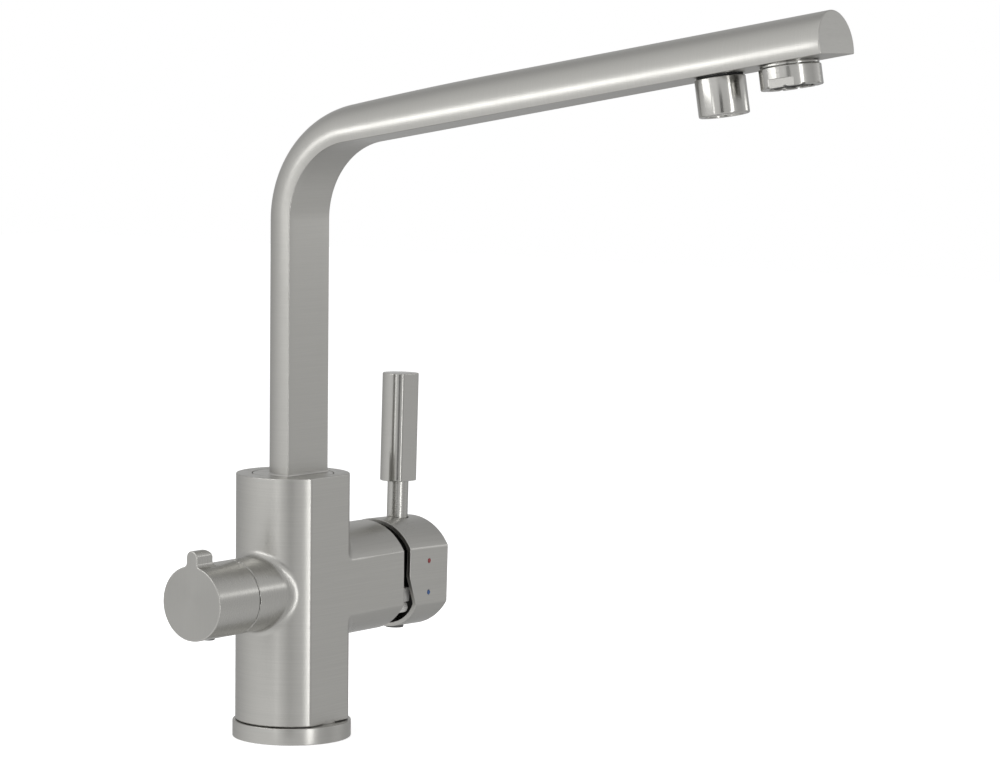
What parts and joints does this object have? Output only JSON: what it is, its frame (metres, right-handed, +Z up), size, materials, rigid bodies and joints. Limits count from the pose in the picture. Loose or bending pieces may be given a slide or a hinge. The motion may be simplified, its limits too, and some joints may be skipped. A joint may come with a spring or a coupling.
{
  "type": "three way filtered water tap",
  "caption": "Deck-mounted kitchen mixer tap with an angled swivel spout, a side lever for hot and cold, and a separate knob for filtered water.",
  "frame": {"origin": "centre of the base's underside, on the worktop, on the spout's swivel axis", "axes": "+Z up along the swivel axis, -Y towards the spout's tip and the user, +X along the mixer barrel to its lever, -X to the filtered water knob"},
  "size_m": [0.1507, 0.2996, 0.3176],
  "materials": {
    "brushed_steel": "satin brushed",
    "polished_steel": "fine turned",
    "brass": "machined",
    "dark_plastic": "moulded",
    "pale_plastic": "moulded",
    "ceramic": "lapped",
    "rubber": "moulded",
    "red_mark": "enamel",
    "blue_mark": "enamel"
  },
  "bodies": {
    "tap": {"tap_body": "brushed_steel", "mixer_barrel": "brushed_steel", "filter_sleeve": "brushed_steel", "base_ring": "brushed_steel", "base_seal": "rubber", "spout_lock_screw": "polished_steel", "swivel_bearing": "pale_plastic", "swivel_bush": "pale_plastic", "filter_pipe_seal": "rubber", "cartridge_base": "dark_plastic", "cartridge_seal_cold": "rubber", "cartridge_seal_hot": "rubber", "cartridge_seal_mixed": "rubber", "cartridge_housing": "dark_plastic", "fixed_ceramic_disc": "ceramic", "cartridge_retaining_nut": "brass", "filter_valve_seal": "rubber", "filter_valve_body": "brass", "filter_fixed_disc": "ceramic", "filter_gland_nut": "brass"},
    "spout": {"spout_foot": "brushed_steel", "spigot_seal_upper": "rubber", "spigot_seal_lower": "rubber", "spout_tube": "brushed_steel", "filter_pipe": "pale_plastic", "filter_outlet_nozzle": "brushed_steel", "filter_outlet_seal": "rubber", "filter_outlet_insert": "pale_plastic", "aerator_mount": "brushed_steel", "aerator_housing": "brushed_steel", "aerator_seal": "rubber", "aerator_insert": "dark_plastic"},
    "mixer_rotor": {"cartridge_rotor": "dark_plastic", "lever_pivot_pin": "polished_steel", "temperature_stop_ring": "pale_plastic"},
    "mixer_disc": {"moving_ceramic_disc": "ceramic", "disc_carrier": "pale_plastic"},
    "lever": {"lever_spindle": "brass", "mixer_cap": "brushed_steel", "cap_screw_plug": "polished_steel", "cap_grub_screw": "polished_steel", "lever_stem": "brushed_steel", "lever_grip": "brushed_steel", "hot_dot": "red_mark", "cold_dot": "blue_mark"},
    "knob": {"filter_turning_disc": "ceramic", "filter_valve_spindle": "brass", "filter_knob": "brushed_steel", "knob_screw_plug": "polished_steel", "knob_grub_screw": "polished_steel"}
  },
  "joints": [
    {"name": "spout_swivel", "type": "hinge", "parent": "tap", "child": "spout", "pos_m": [0, 0, 0.1], "axis": [0, 0, 1], "continuous": true},
    {"name": "mixer_temperature", "type": "hinge", "parent": "tap", "child": "mixer_rotor", "pos_m": [0.05, 0, 0.0655], "axis": [1, 0, 0], "range_deg": [-45, 45]},
    {"name": "mixer_flow", "type": "hinge", "parent": "mixer_rotor", "child": "lever", "pos_m": [0.05, 0, 0.0655], "axis": [0, 1, 0], "range_deg": [0, 25]},
    {"name": "mixer_disc_slide", "type": "slide", "parent": "mixer_rotor", "child": "mixer_disc", "axis": [0, 0, 1], "range_m": [0, 0.0058]},
    {"name": "filter_knob_turn", "type": "hinge", "parent": "tap", "child": "knob", "pos_m": [-0.05, 0, 0.0655], "axis": [1, 0, 0], "range_deg": [0, 90]}
  ],
  "couplings": [
    {"joint": "mixer_disc_slide", "follows": "mixer_flow", "m_per_rad": 0.01275}
  ]
}
